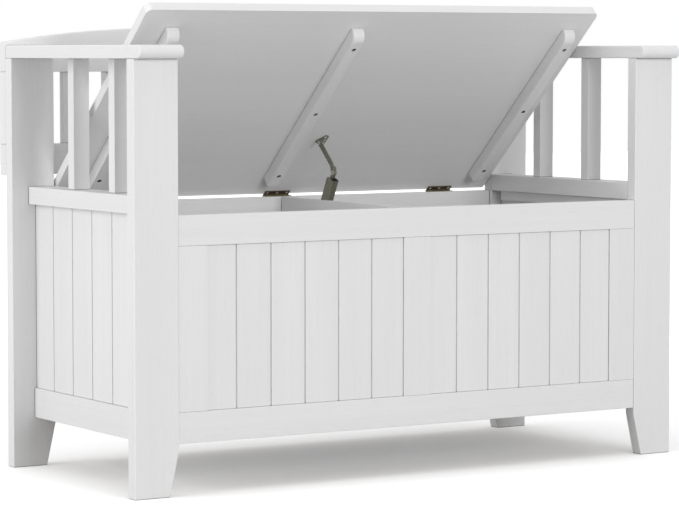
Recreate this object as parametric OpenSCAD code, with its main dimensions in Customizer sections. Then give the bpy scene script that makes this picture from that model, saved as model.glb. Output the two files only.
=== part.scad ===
// Entryway storage bench: a panelled box on four board legs, with armrests, an arched
// backrest and a hinged lid that a folding stay holds open.
// Sizes are in millimetres. +Z is up, +X is to the right seen from the front, -Y is the front.

/* [Bench] */
// Width over the legs
bench_w = 1020; // [960:10:1100]
// Depth from the front of the front legs to the back of the rear legs
bench_d = 439; // [420:1:470]
// Height of the legs, up to the underside of the armrests
leg_h = 664; // [650:1:700]
// Height of the box rails, where the lid closes
seat_h = 428; // [415:1:440]

/* [Legs and armrests] */
// Width of a leg board
leg_w = 76; // [72:1:84]
// Thickness of a leg board
leg_t = 22; // [20:1:26]
// Width of a leg at the floor
foot_w = 60; // [50:1:66]
// Height of the tapered foot
taper_h = 70; // [40:1:76]
// Thickness of an armrest
arm_t = 21; // [18:1:26]
// How far an armrest stands out in front of its leg
arm_nose = 21; // [16:1:30]

/* [Box front and back] */
// Thickness of the rails and stiles
rail_t = 16; // [15:1:20]
// How far the front rails lie behind the legs' front
rail_recess = 1; // [0.5:0.5:2]
// Height of the top rails
top_rail_h = 47; // [38:1:56]
// Height of the bottom rails
bottom_rail_h = 48; // [40:1:56]
// Height of the bottom rails' underside above the floor
bottom_rail_z = 80; // [78:1:90]
// Width of the front stiles
stile_w = 51; // [40:1:60]
// Thickness of the front panels
front_panel_t = 10; // [8:1:12]
// How far a front panel lies behind the rails' face
front_panel_recess = 2.5; // [1:0.5:4]
// Distance between the grooves of a front panel
front_groove_pitch = 61.6; // [56:0.1:66]
// Distance from a front panel's left edge to its first groove
front_groove_first = 51.5; // [40:0.5:60]
// Thickness of the back panel
back_panel_t = 6; // [4:1:9]
// Width of a panel groove
groove_w = 2.5; // [1.5:0.5:4]
// Depth of a panel groove
groove_d = 2; // [1:0.5:3]

/* [Box ends] */
// Height of the cap rail above the box rails
cap_h = 28.5; // [22:0.5:34]
// Distance from the legs' outer edge to the cap rail's outer face
cap_inset = 29; // [20:1:34]
// Distance from the legs' outer edge to the end bottom rail's outer face
end_rail_inset = 38; // [36:1:40]
// Thickness of the end bottom rail
end_rail_t = 20; // [18:1:24]
// Distance from the legs' outer edge to the end panel's outer face
end_panel_inset = 42; // [40:1:44]
// Thickness of the end panel
end_panel_t = 12; // [9:1:14]
// Distance between the grooves of an end panel
end_groove_pitch = 67.5; // [60:0.5:70]
// Distance from an end panel's front edge to its first groove
end_groove_first = 62.5; // [50:0.5:70]
// Thickness of the cleat inside an end panel's top
end_cleat_t = 12; // [10:1:14]
// Height of that cleat
end_cleat_h = 17; // [14:1:24]
// Space between that cleat's ends and the legs
end_cleat_gap = 15; // [5:1:30]
// Width of an armrest slat
slat_w = 28; // [22:1:30]
// Thickness of an armrest slat
slat_t = 20; // [16:1:22]
// Distance from the legs' outer edge to an armrest slat's outer face
slat_inset = 41.5; // [40:0.5:45]

/* [Box inside] */
// Thickness of the divider
divider_t = 10; // [9:1:15]
// How far the divider's middle lies to the right of the bench's middle
divider_off = 5.5; // [0:0.5:8]
// How far the divider's top lies below the rails' top
divider_drop = 1; // [0.5:0.5:4]
// Thickness of the bottom panel
bottom_t = 9; // [6:1:12]
// Section of the cleats under the bottom panel
cleat_w = 18; // [15:1:22]
// Height of the bottom cleats' underside above the bottom rails' underside
cleat_up = 2; // [0:1:10]

/* [Backrest] */
// Thickness of the backrest frame
back_t = 22; // [20:1:26]
// Height of the backrest's lower edge above the box rails
back_gap = 47; // [42:1:54]
// Height of the backrest's lower rail
back_rail_h = 50; // [40:1:60]
// Width of the backrest's end stiles
back_stile_w = 76; // [70:1:84]
// Height of the crest rail at its ends
crest_end_h = 48; // [40:1:56]
// Distance from the crest rail's underside to the legs' top
crest_lap = 22; // [18:1:26]
// How far the crest rail arches above its ends
crest_rise = 24.5; // [15:0.5:30]
// Length of the curve at each end of the crest rail
crest_run = 300; // [200:10:350]
// Number of backrest slats
back_slats = 11; // [9:1:12]
// Width of a backrest slat
back_slat_w = 46; // [38:1:50]
// Thickness of a backrest slat
back_slat_t = 12.5; // [10:0.5:16]

/* [Lid] */
// Thickness of the lid board
lid_t = 15; // [13:1:18]
// How far the closed lid stands out in front of the legs
lid_nose = 20; // [10:1:30]
// Gap between the lid's ends and the legs
lid_gap = 2.5; // [2:0.5:5]
// Radius of the lid's front corners
lid_corner = 10; // [4:1:30]
// Angle at which the stay holds the lid open
lid_open = 42; // [38:1:44]
// Width of a batten
batten_w = 22; // [18:1:28]
// Thickness of a batten
batten_t = 20; // [16:1:24]
// Radius of a batten's rounded front end
batten_round = 17; // [8:1:18]
// Distance from the lid's left end to the left batten's middle
batten_left_in = 58; // [30:1:80]
// Distance from the bench's middle to the middle batten's middle, to the left
batten_middle_off = 33; // [20:1:60]
// Distance from the lid's right end to the right batten's middle
batten_right_in = 43; // [30:1:80]
// Distance between a batten's screws
batten_screw_pitch = 159; // [120:1:170]

/* [Hinges] */
// Length of a hinge
hinge_len = 50; // [46:1:64]
// Distance from the legs' inner edge to the middle of an outer hinge
hinge_in = 99; // [60:1:150]
// Thickness of a hinge leaf
leaf_t = 1.2; // [1:0.1:1.6]
// Distance from the pin to a leaf's far edge
leaf_w = 11; // [10:1:16]
// Outer radius of a hinge knuckle
knuckle_r = 2.3; // [2.1:0.1:3]
// Radius of a hinge pin
pin_r = 1; // [0.8:0.1:1.2]
// Distance between a leaf's screws
hinge_screw_pitch = 19; // [15:1:20]

/* [Stay] */
// Distance of the stay's base pivot in front of the hinge pin
stay_base_front = 45; // [42:1:48]
// Distance of the stay's base pivot below the hinge pin
stay_base_down = 50; // [47:1:53]
// Distance from the base pivot to the elbow
stay_lower_len = 150; // [147:1:153]
// Distance from the elbow to the lid bracket's pivot
stay_upper_len = 65; // [62:1:68]
// Distance of the lid bracket's pivot from the hinge pin along the lid
bracket_reach = 151; // [148:1:154]
// Distance of the lid bracket's pivot below the hinge pin's plane
bracket_drop = 11; // [9:1:12]
// Lean of the spring channel from upright
channel_lean = 27; // [24:1:30]
// Length of the spring channel
channel_len = 77; // [70:1:90]
// Width of the spring channel, front to back
channel_w = 20; // [18:1:22]
// Thickness of the spring channel, side to side
channel_t = 11; // [10:0.5:12]
// Thickness of the stay's sheet steel
sheet_t = 1.5; // [1.2:0.1:1.8]
// Thickness of the stay's flat arms
arm_plate_t = 2; // [1.6:0.1:2.4]
// Width of the upper arm
upper_arm_w = 10; // [9:0.5:10.5]
// Turns of the stay's spring
spring_turns = 14; // [8:1:18]

/* [Fasteners and fits] */
// Gap between surfaces that turn past each other
turn_gap = 0.3; // [0.2:0.05:0.4]
// Radial clearance of a pin in a bore that turns on it
pin_gap = 0.05; // [0.02:0.01:0.1]
// Radius of a wooden dowel
dowel_r = 4; // [3:0.5:5]
// Length of a wooden dowel
dowel_len = 36; // [30:1:40]
// Depth of a dowel in a leg
dowel_in_leg = 14; // [10:1:16]

/* [Hidden] */
$fn = 48;

// A cut runs past the face it opens by this much
cut = 1;

// The legs' front lies this far before the middle of the whole depth
depth_all = arm_nose + bench_d + back_t;
front_y = arm_nose - depth_all / 2;

// Widths
half_w = bench_w / 2;
inner_x = half_w - leg_w;
rear_leg_y = bench_d - leg_t;
end_len = rear_leg_y - leg_t;

// Heights of the box
bottom_rail_top = bottom_rail_z + bottom_rail_h;
top_rail_z = seat_h - top_rail_h;
cap_top = seat_h + cap_h;
cleat_z = bottom_rail_z + cleat_up;
bottom_z = cleat_z + cleat_w;
divider_z = bottom_z + bottom_t;
divider_top = seat_h - divider_drop;

// Depths of the box
box_front_y = rail_recess + rail_t;
box_back_y = bench_d - rail_t;
back_panel_y = box_back_y + (rail_t - back_panel_t) / 2;
end_rail_in = half_w - end_rail_inset - end_rail_t;
end_panel_in = half_w - end_panel_inset - end_panel_t;

// Front bays between the stiles
bay_w = inner_x - stile_w - stile_w / 2;
bay_left_x = -inner_x + stile_w;
bay_right_x = stile_w / 2;
board_grooves = 5;

// Backrest
back_z = seat_h + back_gap;
crest_z = leg_h - crest_lap;
back_stile_z = back_z + back_rail_h;
back_stile_h = crest_z - back_stile_z;
back_open_w = bench_w - 2 * back_stile_w;
back_slat_pitch = (back_open_w + back_slat_w) / (back_slats + 1);
crest_step = 20;

// Hinge line: the pin lies behind the back rail's edge, half-way between the closed leaves
leaf_gap = 0.2;
knuckle_gap = 0.1;
hinge_y = bench_d + knuckle_r + knuckle_gap;
hinge_z = seat_h + leaf_t + leaf_gap / 2;
knuckles = 5;
knuckle_len = hinge_len / knuckles;
knuckle_side_gap = 0.2;
lid_under = leaf_t + leaf_gap / 2;
lid_back = hinge_y - bench_d;
lid_front = hinge_y + lid_nose;
lid_w = bench_w - 2 * leg_w - 2 * lid_gap;
hinges = 3;
hinge_pitch = (inner_x - hinge_in) / ((hinges - 1) / 2);
hinge_xs = [for (i = [0 : hinges - 1]) (i - (hinges - 1) / 2) * hinge_pitch];
leaf_screws = 3;
leaf_screw_y = (leaf_w + knuckle_r) / 2;

// Battens: their ends stay clear of the hinges and of the closed box front, and their screws
// stand a little nearer the hinges than their middles
batten_xs = [batten_left_in - lid_w / 2, -batten_middle_off, lid_w / 2 - batten_right_in];
batten_end_r = min(batten_round, batten_t - 1);
batten_back = 45.5;
batten_screws_back = 2.5;
batten_front_gap = 1;
batten_front = hinge_y - box_front_y - batten_front_gap;
batten_screws_y = (batten_back + batten_front) / 2 - batten_screws_back;
batten_screw_count = 3;
batten_drop = lid_under - batten_t;

// Screw sizes: shank, head, head height and length
wood_screw = [2, 4.1, 2.8, 26.5];
hinge_screw = [1.2, 2.4, 0.9, 9];
stay_screw = [1.5, 2.6, 1.2, 11];
short_screw = [1.5, 2.6, 1.2, 9];
screw_sink = 1.5;

// Stay, seen along X with the hinge pin as the origin: Y to the back, Z up
stay_x = divider_off + divider_t / 2;
channel_x = stay_x + sheet_t + turn_gap;
tongue_x = channel_x + channel_t / 2 - arm_plate_t / 2;
upper_arm_x = tongue_x - turn_gap - arm_plate_t;
ear_x = tongue_x;
base_pivot = [-stay_base_front, -stay_base_down];
function lid_point(reach, rise, angle) = [
  -reach * cos(angle) + rise * sin(angle),
  reach * sin(angle) + rise * cos(angle)
];
// The point at distance a from p and b from q, on the left of the line from p to q
function meet(p, a, q, b) =
  let (
    d = q - p,
    span = norm(d),
    along = (span * span + a * a - b * b) / (2 * span),
    off = sqrt(a * a - along * along)
  )
  p + along * d / span + off * [-d[1], d[0]] / span;
function elbow_at(angle) =
  meet(base_pivot, stay_lower_len, lid_point(bracket_reach, -bracket_drop, angle), stay_upper_len);
function heading(p, q) = atan2(q[1] - p[1], q[0] - p[0]);
bracket_pivot = lid_point(bracket_reach, -bracket_drop, lid_open);
elbow = elbow_at(lid_open);
base_rivet_r = 3;
elbow_rivet_r = 2.5;
bracket_rivet_r = 2;
rivet_head = 1.2;
head_ratio = 1.65;
elbow_play = 0.35;
knuckle_plate_r = 6;
// The lower arm's tongue: a neck beside the stop, and a round plate behind the elbow's rivet
tongue_front = 4;
tongue_back = 8;
tongue_r = 8.5;
tongue_round_at = [3.5, 2];
channel_corner = 5;
channel_top = 11;
ear_w = 14;

// The joints' ends, for the record: the lid shuts until its front edge rests on the front rail
rest_gap = 0.3;
close_angle = lid_open + asin((leaf_t * 2 + leaf_gap - rest_gap) / (hinge_y - rail_recess));
shut = lid_open - close_angle;
shut_bracket = lid_point(bracket_reach, -bracket_drop, shut);
lower_turn = heading(base_pivot, elbow_at(shut)) - heading(base_pivot, elbow);
upper_turn = heading(shut_bracket, elbow_at(shut)) - heading(bracket_pivot, elbow) - close_angle;
lower_turn_up = lower_turn < 0 ? lower_turn + 360 : lower_turn;
echo(hinge_pin = [front_y + hinge_y, hinge_z], close_angle = close_angle);
echo(base_pivot = [front_y + hinge_y + base_pivot[0], hinge_z + base_pivot[1]]);
echo(bracket_pivot = [front_y + hinge_y + bracket_pivot[0], hinge_z + bracket_pivot[1]]);
echo(lower_ratio = lower_turn_up / close_angle, upper_ratio = upper_turn / close_angle);

// Colours
paint = "whitesmoke";
paint_shade = "gainsboro";
bare_wood = "burlywood";
bronze = "dimgray";
steel = "darkkhaki";
zinc = "silver";
plastic = "black";

// Places a child in the bench's own frame: Y from the legs' front
module at_front() {
  translate([0, front_y, 0]) children();
}

// Places a child on the hinge line
module at_hinge() {
  at_front() translate([0, hinge_y, hinge_z]) children();
}

// Places a child on the lid as it stands open, with the lid's front towards -Y
module on_lid() {
  at_hinge() rotate([-lid_open, 0, 0]) children();
}

// Mirrors a right-hand piece to the left side for side = -1
module to_side(side) {
  mirror([side < 0 ? 1 : 0, 0, 0]) children();
}

// A block from its low corner to its high corner
module block(low, high) {
  translate(low) cube(high - low);
}

// A round bar along X, from x by length
module bar_x(r, x, length) {
  translate([x, 0, 0]) rotate([0, 90, 0]) cylinder(r = r, h = length);
}

// A countersunk screw whose head's flat top is at the origin, pointing down -Z
module screw(size) {
  translate([0, 0, -size[2]]) cylinder(r1 = size[0], r2 = size[1], h = size[2]);
  translate([0, 0, -size[3]]) cylinder(r = size[0], h = size[3] - size[2]);
}

// A leg board for the right side, with its foot tapered on the inner edge
module leg_board(y) {
  translate([0, y + leg_t, 0])
    rotate([90, 0, 0])
      linear_extrude(leg_t)
        polygon([
          [half_w, 0], [half_w, leg_h], [inner_x, leg_h],
          [inner_x, taper_h], [half_w - foot_w, 0]
        ]);
}

// Dowel places in the ends of the rails: offset from a rail's middle height
dowel_up = 12;
rail_middles = [seat_h - top_rail_h / 2, bottom_rail_z + bottom_rail_h / 2];
rail_rows = [rail_recess + rail_t / 2, bench_d - rail_t / 2];
module rail_dowel_set() {
  for (side = [-1, 1], y = rail_rows, z = rail_middles, up = [-dowel_up, dowel_up])
    translate([side * (inner_x + dowel_in_leg - dowel_len / 2), y, z + up])
      bar_x(dowel_r, -dowel_len / 2, dowel_len);
}

// Dowels between the end rails and the legs' inner faces
cap_middle = seat_h + cap_h / 2;
end_rail_x = half_w - end_rail_inset - end_rail_t / 2;
cap_x = (half_w - cap_inset + inner_x) / 2;
module end_dowel_set(side) {
  dowels = [
    [end_rail_x, rail_middles[1] - dowel_up], [end_rail_x, rail_middles[1] + dowel_up],
    [cap_x - dowel_up, cap_middle], [cap_x + dowel_up, cap_middle]
  ];
  for (d = dowels, y = [leg_t - dowel_in_leg, rear_leg_y + dowel_in_leg - dowel_len])
    translate([side * d[0], y, d[1]])
      rotate([-90, 0, 0]) cylinder(r = dowel_r, h = dowel_len);
}

// Dowels between the legs' tops and the armrests
leg_dowel_x = 20;
module armrest_dowel_set(side) {
  for (x = [inner_x + leg_dowel_x, half_w - leg_dowel_x], y = [leg_t / 2, bench_d - leg_t / 2])
    translate([side * x, y, leg_h + dowel_in_leg - dowel_len])
      cylinder(r = dowel_r, h = dowel_len);
}

// Bolts that hold the backrest to the rear legs, with their heads sunk in the backrest's back
bolt_r = 3;
bolt_head_r = 6;
bolt_head_h = 3;
bolt_in_leg = 15;
bolt_x = half_w - leg_w / 2;
bolt_zs = [back_z + back_rail_h / 2, back_stile_z + back_stile_h / 2, leg_h - crest_lap / 2];
module backrest_bolt_set(side) {
  for (z = bolt_zs)
    translate([side * bolt_x, bench_d + back_t, z])
      rotate([90, 0, 0]) {
        cylinder(r = bolt_head_r, h = bolt_head_h);
        cylinder(r = bolt_r, h = back_t + bolt_in_leg);
      }
}

module rail_dowels() {
  color(bare_wood) at_front() rail_dowel_set();
}

module end_dowels() {
  color(bare_wood) at_front() for (side = [-1, 1]) end_dowel_set(side);
}

module armrest_dowels() {
  color(bare_wood) at_front() for (side = [-1, 1]) armrest_dowel_set(side);
}

module backrest_bolts() {
  color(zinc) at_front() for (side = [-1, 1]) backrest_bolt_set(side);
}

module front_leg(side) {
  color(paint) at_front() difference() {
    to_side(side) leg_board(0);
    rail_dowel_set();
    end_dowel_set(side);
    armrest_dowel_set(side);
  }
}

module rear_leg(side) {
  color(paint) at_front() difference() {
    to_side(side) leg_board(rear_leg_y);
    rail_dowel_set();
    end_dowel_set(side);
    armrest_dowel_set(side);
    backrest_bolt_set(side);
  }
}

// An armrest board with a full round along its front edge
module armrest(side) {
  nose_r = arm_t / 2;
  color(paint) at_front() difference() {
    to_side(side) union() {
      block([inner_x, nose_r - arm_nose, leg_h], [half_w, bench_d, leg_h + arm_t]);
      translate([0, nose_r - arm_nose, leg_h + nose_r]) bar_x(nose_r, inner_x, leg_w);
    }
    armrest_dowel_set(side);
  }
}

module cap_rail(side) {
  color(paint) at_front() difference() {
    to_side(side) block([inner_x, leg_t, seat_h], [half_w - cap_inset, rear_leg_y, cap_top]);
    end_dowel_set(side);
  }
}

module end_rail(side) {
  color(paint) at_front() difference() {
    to_side(side)
      block([end_rail_in, leg_t, bottom_rail_z],
        [half_w - end_rail_inset, rear_leg_y, bottom_rail_top]);
    end_dowel_set(side);
  }
}

// An end panel with upright grooves on its outer face
module end_panel(side) {
  outer_x = half_w - end_panel_inset;
  color(paint_shade) at_front() to_side(side) difference() {
    block([end_panel_in, leg_t, bottom_rail_top], [outer_x, rear_leg_y, seat_h]);
    for (i = [0 : board_grooves - 1]) {
      y = leg_t + end_groove_first + i * end_groove_pitch - groove_w / 2;
      block([outer_x - groove_d, y, bottom_rail_top - cut],
        [outer_x + cut, y + groove_w, seat_h + cut]);
    }
  }
}

module end_cleat(side) {
  color(paint) at_front() to_side(side)
    block([end_panel_in - end_cleat_t, leg_t + end_cleat_gap, seat_h - end_cleat_h],
      [end_panel_in, rear_leg_y - end_cleat_gap, seat_h]);
}

// One of the two slats between a cap rail and its armrest, spaced evenly between the legs
end_slats = 2;
module end_slat(side, row) {
  space = (end_len - end_slats * slat_t) / (end_slats + 1);
  y = leg_t + space + row * (slat_t + space);
  color(paint) at_front() to_side(side)
    block([half_w - slat_inset - slat_w, y, cap_top], [half_w - slat_inset, y + slat_t, leg_h]);
}

module front_rail(z, height) {
  color(paint) at_front() difference() {
    block([-inner_x, rail_recess, z], [inner_x, box_front_y, z + height]);
    rail_dowel_set();
  }
}

module front_stile(x) {
  color(paint) at_front()
    block([x, rail_recess, bottom_rail_top], [x + stile_w, box_front_y, top_rail_z]);
}

// A front panel with upright grooves on its front face
module front_panel(x) {
  face_y = rail_recess + front_panel_recess;
  color(paint_shade) at_front() difference() {
    block([x, face_y, bottom_rail_top], [x + bay_w, face_y + front_panel_t, top_rail_z]);
    for (i = [0 : board_grooves - 1]) {
      groove_x = x + front_groove_first + i * front_groove_pitch - groove_w / 2;
      block([groove_x, face_y - cut, bottom_rail_top - cut],
        [groove_x + groove_w, face_y + groove_d, top_rail_z + cut]);
    }
  }
}

// The hinge screws of one leaf row, heads towards +Z
module leaf_screw_places() {
  for (x = hinge_xs, i = [0 : leaf_screws - 1])
    translate([x + (i - (leaf_screws - 1) / 2) * hinge_screw_pitch, -leaf_screw_y, 0]) children();
}

module frame_screw_set() {
  translate([0, 0, leaf_t - lid_under]) leaf_screw_places() screw(hinge_screw);
}

module lid_leaf_screw_set() {
  translate([0, 0, lid_under - leaf_t]) mirror([0, 0, 1]) leaf_screw_places() screw(hinge_screw);
}

module back_top_rail() {
  color(paint) difference() {
    at_front() difference() {
      block([-inner_x, box_back_y, top_rail_z], [inner_x, bench_d, seat_h]);
      rail_dowel_set();
    }
    at_hinge() frame_screw_set();
  }
}

module back_bottom_rail() {
  color(paint) at_front() difference() {
    block([-inner_x, box_back_y, bottom_rail_z], [inner_x, bench_d, bottom_rail_top]);
    rail_dowel_set();
  }
}

module back_panel() {
  color(paint_shade) at_front()
    block([-inner_x, back_panel_y, bottom_rail_top],
      [inner_x, back_panel_y + back_panel_t, top_rail_z]);
}

module divider() {
  color(paint) difference() {
    at_front()
      block([divider_off - divider_t / 2, box_front_y, divider_z],
        [divider_off + divider_t / 2, box_back_y, divider_top]);
    stay_base_screw_set();
  }
}

// The bottom panel fits between the rails and, past the legs, between the legs
module bottom_panel() {
  color(paint) at_front() union() {
    block([-inner_x, box_front_y, bottom_z], [inner_x, box_back_y, divider_z]);
    block([-end_rail_in, leg_t, bottom_z], [end_rail_in, rear_leg_y, divider_z]);
  }
}

module bottom_cleats() {
  color(bare_wood) at_front() {
    for (y = [box_front_y, box_back_y - cleat_w])
      block([-inner_x, y, cleat_z], [inner_x, y + cleat_w, bottom_z]);
    for (side = [-1, 1])
      to_side(side)
        block([end_rail_in - cleat_w, box_front_y + cleat_w, cleat_z],
          [end_rail_in, box_back_y - cleat_w, bottom_z]);
  }
}

// Height of the crest rail's top above its end, at distance x from the middle
function crest_up(x) =
  let (past = max(0, abs(x) - half_w + crest_run) / crest_run)
  crest_rise * (1 - past * past);

module crest_rail() {
  end_z = crest_z + crest_end_h;
  steps = floor(half_w / crest_step);
  top = concat(
    [[half_w, end_z]],
    [for (i = [steps : -1 : -steps]) if (abs(i) * crest_step < half_w)
      [i * crest_step, end_z + crest_up(i * crest_step)]],
    [[-half_w, end_z]]
  );
  color(paint) at_front() difference() {
    translate([0, bench_d + back_t, 0])
      rotate([90, 0, 0])
        linear_extrude(back_t)
          polygon(concat([[-half_w, crest_z], [half_w, crest_z]], top));
    for (side = [-1, 1]) backrest_bolt_set(side);
  }
}

module backrest_rail() {
  color(paint) at_front() difference() {
    block([-half_w, bench_d, back_z], [half_w, bench_d + back_t, back_stile_z]);
    for (side = [-1, 1]) backrest_bolt_set(side);
  }
}

module backrest_stile(side) {
  color(paint) at_front() difference() {
    to_side(side)
      block([half_w - back_stile_w, bench_d, back_stile_z], [half_w, bench_d + back_t, crest_z]);
    backrest_bolt_set(side);
  }
}

module backrest_slats() {
  y = bench_d + (back_t - back_slat_t) / 2;
  first_x = -half_w + back_stile_w + back_slat_pitch - back_slat_w;
  color(paint_shade) at_front()
    for (i = [0 : back_slats - 1]) {
      x = first_x + i * back_slat_pitch;
      block([x, y, back_stile_z], [x + back_slat_w, y + back_slat_t, crest_z]);
    }
}

// A hinge leaf lying forward of the pin: z0 is its underside, first is its first knuckle
module hinge_leaf(x, z0, first) {
  difference() {
    union() {
      block([x - hinge_len / 2, -leaf_w, z0], [x + hinge_len / 2, -knuckle_r - knuckle_gap, z0 + leaf_t]);
      for (i = [first : 2 : knuckles - 1]) {
        x0 = x - hinge_len / 2 + i * knuckle_len + knuckle_side_gap / 2;
        length = knuckle_len - knuckle_side_gap;
        block([x0, -knuckle_r - 2 * knuckle_gap, z0], [x0 + length, 0, z0 + leaf_t]);
        bar_x(knuckle_r, x0, length);
      }
    }
    bar_x(pin_r + pin_gap, x - hinge_len, 2 * hinge_len);
  }
}

module hinge_frame_leaves() {
  color(bronze) at_hinge() difference() {
    for (x = hinge_xs) hinge_leaf(x, -lid_under, 0);
    frame_screw_set();
  }
}

module hinge_lid_leaves() {
  color(bronze) on_lid() difference() {
    for (x = hinge_xs) hinge_leaf(x, lid_under - leaf_t, 1);
    lid_leaf_screw_set();
  }
}

module hinge_pins() {
  color(bronze) at_hinge()
    for (x = hinge_xs) bar_x(pin_r, x - hinge_len / 2, hinge_len);
}

module hinge_frame_screws() {
  color(zinc) at_hinge() frame_screw_set();
}

module hinge_lid_screws() {
  color(zinc) on_lid() lid_leaf_screw_set();
}

// Batten screws: their heads lie sunk below the battens' faces
module batten_screw_places(x) {
  for (i = [0 : batten_screw_count - 1])
    translate([x, -batten_screws_y + (i - 1) * batten_screw_pitch, batten_drop + screw_sink])
      mirror([0, 0, 1]) children();
}

module batten_screw_set() {
  for (x = batten_xs) batten_screw_places(x) screw(wood_screw);
}

// The bracket's flange on the lid, from its ear to the right and along the lid, and its screws
flange = [[0, -12], [19.5, -18.5], [20, 3.5], [13, 5.5], [0, -7]];
bracket_screws = [[14.5, 1], [15.5, -6], [16, -13.5], [8, -9.5]];
module bracket_screw_set() {
  for (p = bracket_screws)
    translate([ear_x + p[0], -bracket_reach - p[1], lid_under - sheet_t])
      mirror([0, 0, 1]) screw(stay_screw);
}

// The lid board, with its front corners rounded
module lid_board() {
  corner_x = lid_w / 2 - lid_corner;
  color(paint) on_lid() difference() {
    translate([0, 0, lid_under]) linear_extrude(lid_t) union() {
      translate([-lid_w / 2, lid_corner - lid_front]) square([lid_w, lid_front - lid_back - lid_corner]);
      translate([-corner_x, -lid_front]) square([2 * corner_x, lid_corner]);
      for (side = [-1, 1]) translate([side * corner_x, lid_corner - lid_front]) circle(lid_corner);
    }
    batten_screw_set();
    lid_leaf_screw_set();
    bracket_screw_set();
  }
}

// A batten across the lid's underside, with its front end rounded
module batten(x) {
  round_y = batten_end_r - batten_front;
  round_z = batten_drop + batten_end_r;
  head_room = screw_sink + cut;
  color(paint) on_lid() difference() {
    translate([x - batten_w / 2, 0, 0]) union() {
      block([0, round_y, batten_drop], [batten_w, -batten_back, lid_under]);
      intersection() {
        block([0, -batten_front, batten_drop], [batten_w, round_y + cut, lid_under]);
        translate([0, round_y, round_z]) union() {
          bar_x(batten_end_r, 0, batten_w);
          block([0, -batten_end_r, 0], [batten_w, cut, batten_t]);
        }
      }
    }
    batten_screw_set();
    batten_screw_places(x) translate([0, 0, -cut / 2]) cylinder(r = wood_screw[1], h = head_room);
  }
}

module batten_screws() {
  color(bronze) on_lid() batten_screw_set();
}

// A flat plate arm between two points of the stay's plane, from x by thickness, with round ends
link_lip = 0.1;
module arm_link(x, thickness, p, q, width) {
  half = width / 2 - link_lip;
  translate([0, p[0], p[1]])
    rotate([heading(p, q), 0, 0])
      block([x, 0, -half], [x + thickness, norm(q - p), half]);
  for (end = [p, q]) translate([0, end[0], end[1]]) bar_x(width / 2, x, thickness);
}

// Places a child at the elbow, with the channel's length along -Z
module at_channel() {
  at_hinge() translate([0, elbow[0], elbow[1]]) rotate([channel_lean, 0, 0]) children();
}

base_plate_up = 16;
base_plate_w = 28;
base_screws = [[-9, 10], [9, 10], [0, -11]];
module stay_base_screw_set() {
  at_hinge() for (p = base_screws)
    translate([stay_x + sheet_t, base_pivot[0] + p[0], base_pivot[1] + p[1]])
      rotate([0, 90, 0]) screw(short_screw);
}

module stay_base_plate() {
  color(steel) difference() {
    at_hinge() translate([0, base_pivot[0], base_pivot[1]]) difference() {
      block([stay_x, -base_plate_w / 2, -base_plate_up],
        [stay_x + sheet_t, base_plate_w / 2, base_plate_up]);
      bar_x(base_rivet_r + pin_gap, stay_x - cut, sheet_t + 2 * cut);
    }
    stay_base_screw_set();
  }
}

module stay_base_screws() {
  color(zinc) stay_base_screw_set();
}

// The lower arm: a pressed channel, its ear to the base pivot and the tongue to the elbow
module stay_lower_arm() {
  foot = [channel_len + channel_top - ear_w / 2, 0];
  ear_end = elbow + foot[0] * [sin(channel_lean), -cos(channel_lean)];
  inside_x = channel_x + sheet_t;
  color(steel) difference() {
    union() {
      at_channel() difference() {
        block([channel_x, -channel_w / 2, -channel_top - channel_len],
          [channel_x + channel_t, channel_w / 2, -channel_top]);
        block([inside_x, -channel_w / 2 + sheet_t, -channel_top - channel_len + sheet_t],
          [channel_x + channel_t - sheet_t, channel_w / 2 + cut, cut]);
        channel_corner_cut();
      }
      at_channel() {
        channel_arch(web_rise, sheet_t);
        block([tongue_x, -tongue_front, -channel_top],
          [tongue_x + arm_plate_t, tongue_back, tongue_round_at[1]]);
        block([tongue_x, -channel_w / 2 + sheet_t / 2, -2 * channel_top],
          [tongue_x + arm_plate_t, tongue_back, -channel_top]);
        translate([0, tongue_round_at[0], tongue_round_at[1]]) bar_x(tongue_r, tongue_x, arm_plate_t);
      }
      at_hinge() arm_link(channel_x, sheet_t, base_pivot, ear_end, ear_w);
    }
    stay_rivet_shanks();
  }
}

// What rounds the upper back corners of the channel's side walls
module channel_corner_cut() {
  low = [channel_x - cut, channel_w / 2 - channel_corner, -channel_top - channel_corner];
  difference() {
    block(low, low + [channel_t + 2 * cut, channel_corner + cut, channel_corner + cut]);
    translate([0, low[1], low[2]]) bar_x(channel_corner, low[0] - cut, channel_t + 4 * cut);
  }
}

module stay_rivet_shanks() {
  at_hinge() translate([0, base_pivot[0], base_pivot[1]])
    bar_x(base_rivet_r, stay_x + knuckle_gap, sheet_t * 2 + turn_gap);
  at_hinge() translate([0, elbow[0], elbow[1]])
    bar_x(elbow_rivet_r, upper_arm_x - turn_gap, turn_gap * 2 + arm_plate_t * 2);
}

// The rivets that ride with the lower arm, each with its heads
module stay_arm_rivets() {
  color(zinc) {
    stay_rivet_shanks();
    at_hinge() translate([0, base_pivot[0], base_pivot[1]])
      bar_x(base_rivet_r * head_ratio, channel_x + sheet_t, rivet_head);
    at_hinge() translate([0, elbow[0], elbow[1]]) {
      bar_x(elbow_rivet_r * head_ratio, upper_arm_x - turn_gap - rivet_head, rivet_head);
      bar_x(elbow_rivet_r * head_ratio, tongue_x + arm_plate_t, rivet_head);
    }
  }
}

// An arch over the channel's front wall: rise is its height and depth its run to the back
arch_r = 7;
web_rise = 1.6;
stop_rise = 3.4;
stop_w = 5.5;
module channel_arch(rise, depth) {
  low = [channel_x, -channel_w / 2, -channel_top];
  intersection() {
    translate([channel_x + channel_t / 2, low[1], low[2] + rise - arch_r])
      rotate([-90, 0, 0]) cylinder(r = arch_r, h = depth);
    block(low, low + [channel_t, depth, rise]);
  }
}

// The rubber stop that lies over the channel's front wall, before the tongue
module stay_bumper() {
  color(plastic) at_channel() difference() {
    channel_arch(stop_rise, stop_w);
    channel_arch(web_rise, stop_w + cut);
  }
}

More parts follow.
